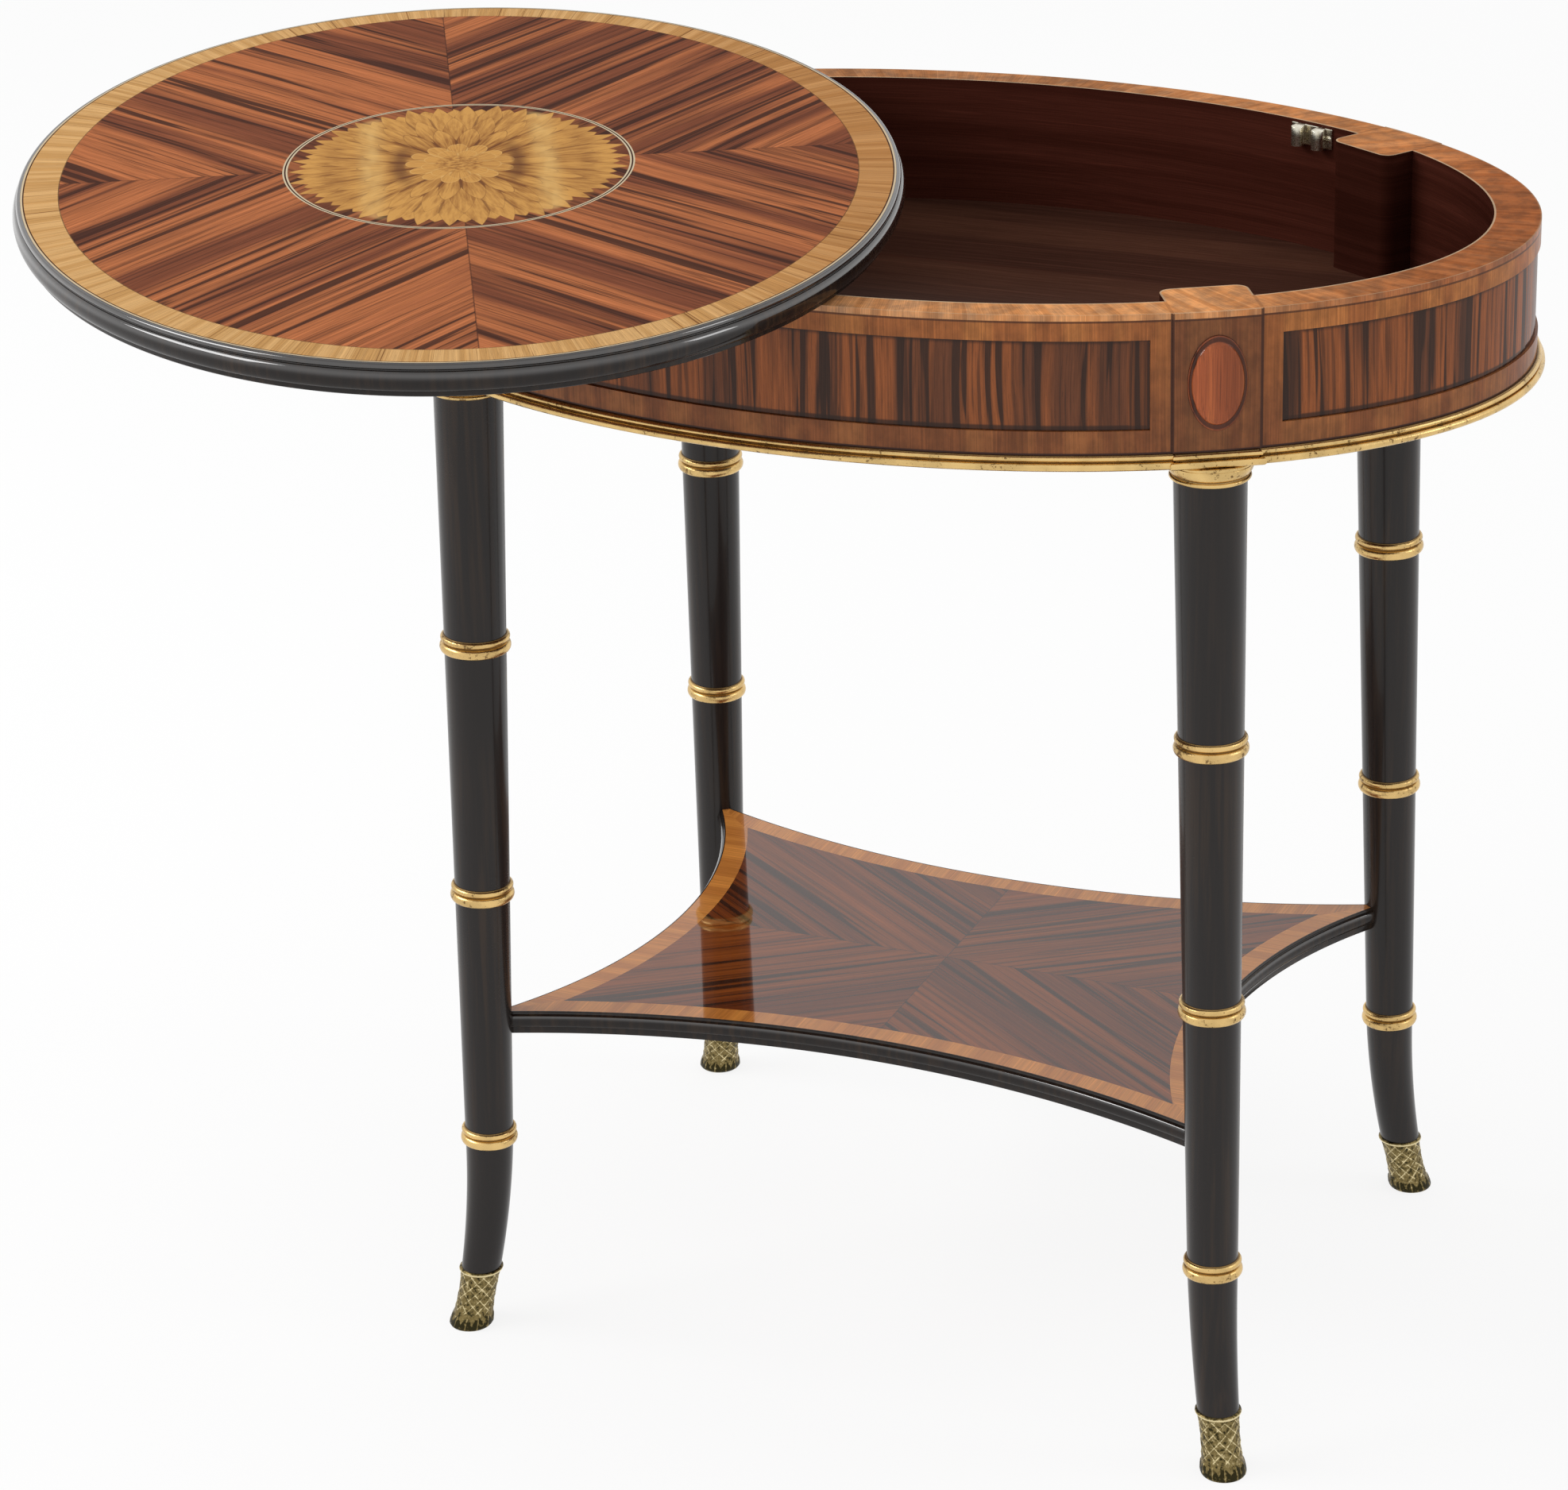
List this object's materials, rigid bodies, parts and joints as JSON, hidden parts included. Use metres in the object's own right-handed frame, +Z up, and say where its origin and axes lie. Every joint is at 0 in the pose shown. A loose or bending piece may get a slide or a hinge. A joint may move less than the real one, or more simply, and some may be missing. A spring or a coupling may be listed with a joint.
{
  "type": "side table",
  "caption": "Oval occasional table with a swivelling veneered top over a shallow storage well, round splayed legs with gilt collars, and a lower shelf with hollowed sides.",
  "frame": {"origin": "on the floor, under the middle of the oval frame", "axes": "+Z up, X along the frame's long axis, front towards -Y; at rest the top is swung open to the left and front"},
  "size_m": [0.8687, 0.6809, 0.7],
  "materials": {
    "frame_veneer": "polished",
    "panel_veneer": "polished",
    "patera_veneer": "polished",
    "well_board": "satin",
    "gilt": "gilded",
    "antique_brass": "antiqued",
    "ebonised_leg": "satin lacquer",
    "ebonised_edge": "gloss lacquer",
    "shelf_board": "satin",
    "top_board": "satin",
    "crossband": "polished",
    "rosewood_leaf": "polished",
    "medallion_inlay": "polished",
    "steel": "plain",
    "catch_metal": "polished"
  },
  "bodies": {
    "base": {"apron_front": "frame_veneer", "apron_right": "frame_veneer", "apron_back": "frame_veneer", "apron_left": "frame_veneer", "block_back_right": "frame_veneer", "block_back_left": "frame_veneer", "block_front_left": "frame_veneer", "block_front_right": "frame_veneer", "panels": "panel_veneer", "paterae": "patera_veneer", "base_board": "well_board", "well_floor": "well_board", "base_moulding": "gilt", "leg_back_right": "ebonised_leg", "leg_back_left": "ebonised_leg", "leg_front_left": "ebonised_leg", "leg_front_right": "ebonised_leg", "capitals": "gilt", "rings_upper": "gilt", "rings_middle": "gilt", "rings_lower": "gilt", "sabots": "antique_brass", "shelf_core": "shelf_board", "shelf_border": "crossband", "shelf_leaf_back_right": "rosewood_leaf", "shelf_leaf_back_left": "rosewood_leaf", "shelf_leaf_front_left": "rosewood_leaf", "shelf_leaf_front_right": "rosewood_leaf", "shelf_edge": "ebonised_edge", "catch": "catch_metal"},
    "top": {"top_core": "top_board", "top_edge": "ebonised_edge", "top_border": "crossband", "top_leaf_back_right": "rosewood_leaf", "top_leaf_back_left": "rosewood_leaf", "top_leaf_front_left": "rosewood_leaf", "top_leaf_front_right": "rosewood_leaf", "top_medallion": "medallion_inlay", "pivot_plate": "steel", "pivot_bolt": "steel", "striker": "catch_metal"}
  },
  "joints": [
    {"name": "top_swivel", "type": "hinge", "parent": "base", "child": "top", "pos_m": [-0.21283, 0.15158, 0.682], "axis": [0, 0, 1], "range_deg": [-12.8, 61.2]}
  ]
}
